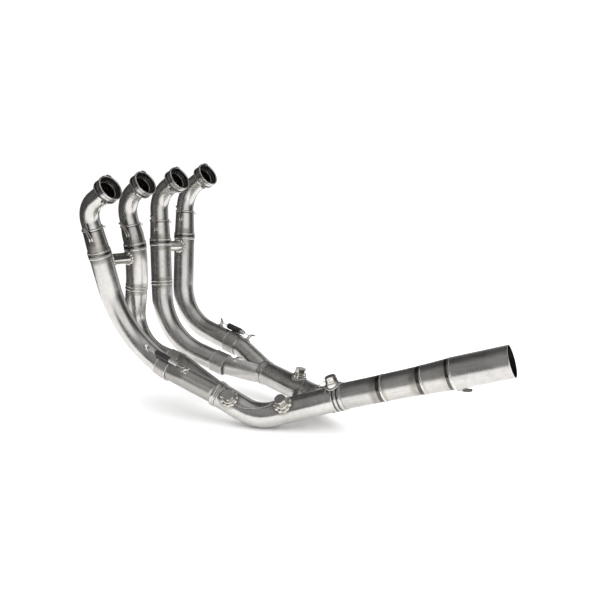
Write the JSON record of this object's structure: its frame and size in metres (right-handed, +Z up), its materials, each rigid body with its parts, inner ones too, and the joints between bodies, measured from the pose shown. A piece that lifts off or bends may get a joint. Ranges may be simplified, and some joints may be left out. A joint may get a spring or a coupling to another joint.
{
  "type": "motorcycle exhaust header",
  "caption": "Exhaust header for an inline engine: port cups, bent primaries, paired collectors, crossovers, springs and a stepped tail.",
  "frame": {"origin": "centre of the bore of port cup 1, on the cup's axis", "axes": "+X rearward towards the outlet, +Y from cylinder 1 to cylinder 4, +Z up; the port axes rise 33 degrees from +X in the XZ plane"},
  "size_m": [0.681, 0.3026, 0.4075],
  "materials": {
    "satin_tube": "satin titanium tube, brushed, warm heat tint beside the welds",
    "machined": "turned titanium, fine lathe marks",
    "hook_metal": "dull bent rod, welded",
    "spring_steel": "bright drawn spring wire",
    "damper_rubber": "black rubber, slightly dusty",
    "plug_steel": "polished plug, faint straw tint",
    "washer_copper": "copper crush washer",
    "lockwire_steel": "stainless twisted wire"
  },
  "bodies": {
    "root": {"port_cup_1": "machined", "stub_elbow_1": "satin_tube", "upper_sleeve_1": "satin_tube", "primary_tube_1": "satin_tube", "lower_sleeve_1": "machined", "port_cup_2": "machined", "stub_elbow_2": "satin_tube", "upper_sleeve_2": "satin_tube", "primary_tube_2": "satin_tube", "lower_sleeve_2": "machined", "port_cup_3": "machined", "stub_elbow_3": "satin_tube", "upper_sleeve_3": "satin_tube", "primary_tube_3": "satin_tube", "lower_sleeve_3": "machined", "port_cup_4": "machined", "stub_elbow_4": "satin_tube", "upper_sleeve_4": "satin_tube", "primary_tube_4": "satin_tube", "lower_sleeve_4": "machined", "primary_head_2": "satin_tube", "primary_head_3": "satin_tube", "crossover_12": "satin_tube", "crossover_34": "satin_tube", "collector_a": "satin_tube", "collector_b": "satin_tube", "secondary_a": "satin_tube", "secondary_b": "satin_tube", "balance_tube": "satin_tube", "final_collector": "satin_tube", "tail_inlet": "satin_tube", "tail_cone_1": "satin_tube", "tail_cone_2": "satin_tube", "outlet_tube": "satin_tube", "upper_hooks": "hook_metal", "upper_lugs": "hook_metal", "lower_hooks": "hook_metal", "tail_hook": "hook_metal", "spring_1": "spring_steel", "spring_4": "spring_steel", "damper_sleeve_1": "damper_rubber", "damper_sleeve_4": "damper_rubber", "sensor_bosses": "machined", "boss_plugs": "plug_steel", "crush_washers": "washer_copper", "lockwire_a": "lockwire_steel", "lockwire_b": "lockwire_steel"}
  },
  "joints": []
}
